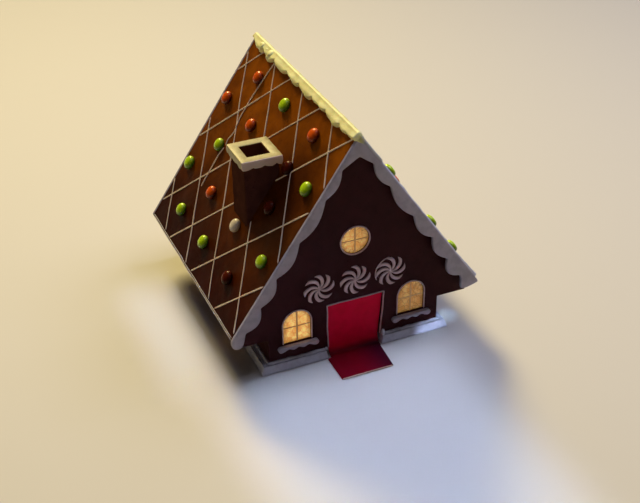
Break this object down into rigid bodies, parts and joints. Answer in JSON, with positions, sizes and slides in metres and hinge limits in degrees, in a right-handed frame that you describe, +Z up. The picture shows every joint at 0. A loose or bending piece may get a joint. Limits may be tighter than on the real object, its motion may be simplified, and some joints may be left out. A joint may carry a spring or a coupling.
{
  "type": "gingerbread house",
  "caption": "Steep-roofed gingerbread house on a white board, with icing trim, candy buttons, chimney, glowing windows and a red door mat.",
  "frame": {"origin": "middle of the board's underside", "axes": "+Z up; +Y from the door to the back of the house; +X to the right of somebody facing the door"},
  "size_m": [0.202, 0.2238, 0.1862],
  "materials": {
    "dark_gingerbread": "very dark baked gingerbread, smooth",
    "roof_gingerbread": "glazed brown gingerbread, satin",
    "icing": "dried white royal icing, satin",
    "cream_icing": "cream icing, satin",
    "board_icing": "board coated in white icing",
    "red_door": "rolled red sugar sheet, soft gloss",
    "sugar_pane": "crackled amber sugar, lit from inside",
    "green_candy": "glossy sugar shell",
    "red_candy": "glossy sugar shell",
    "white_candy": "glossy sugar shell"
  },
  "bodies": {
    "root": {"back_fascia": "icing", "back_pane_left": "sugar_pane", "back_pane_right": "sugar_pane", "back_pane_round": "sugar_pane", "back_pinwheel_left": "icing", "back_pinwheel_middle": "icing", "back_pinwheel_right": "icing", "back_sill_left": "icing", "back_sill_right": "icing", "back_wall": "dark_gingerbread", "board": "board_icing", "candy_left_1a": "red_candy", "candy_left_1b": "green_candy", "candy_left_1c": "red_candy", "candy_left_2a": "green_candy", "candy_left_2b": "red_candy", "candy_left_2c": "red_candy", "candy_left_2d": "red_candy", "candy_left_3a": "red_candy", "candy_left_3b": "red_candy", "candy_left_3c": "green_candy", "candy_left_4a": "green_candy", "candy_left_4b": "white_candy", "candy_left_4c": "red_candy", "candy_left_4d": "green_candy", "candy_left_5a": "red_candy", "candy_left_5b": "green_candy", "candy_left_5c": "green_candy", "candy_right_2a": "green_candy", "candy_right_2b": "red_candy", "candy_right_2c": "white_candy", "candy_right_2d": "red_candy", "candy_right_3a": "red_candy", "candy_right_3b": "green_candy", "candy_right_3c": "red_candy", "candy_right_4a": "green_candy", "candy_right_4b": "red_candy", "candy_right_4c": "red_candy", "candy_right_4d": "green_candy", "candy_right_5a": "green_candy", "candy_right_5b": "red_candy", "candy_right_5c": "green_candy", "chimney_cap": "cream_icing", "chimney_stack": "roof_gingerbread", "door_mat": "red_door", "front_fascia": "icing", "front_pane_left": "sugar_pane", "front_pane_right": "sugar_pane", "front_pane_round": "sugar_pane", "front_pinwheel_left": "icing", "front_pinwheel_middle": "icing", "front_pinwheel_right": "icing", "front_sill_left": "icing", "front_sill_right": "icing", "front_wall": "dark_gingerbread", "ridge_icing": "cream_icing", "roof_left": "roof_gingerbread", "roof_right": "roof_gingerbread", "side_wall_left": "dark_gingerbread", "side_wall_right": "dark_gingerbread"}
  },
  "joints": []
}
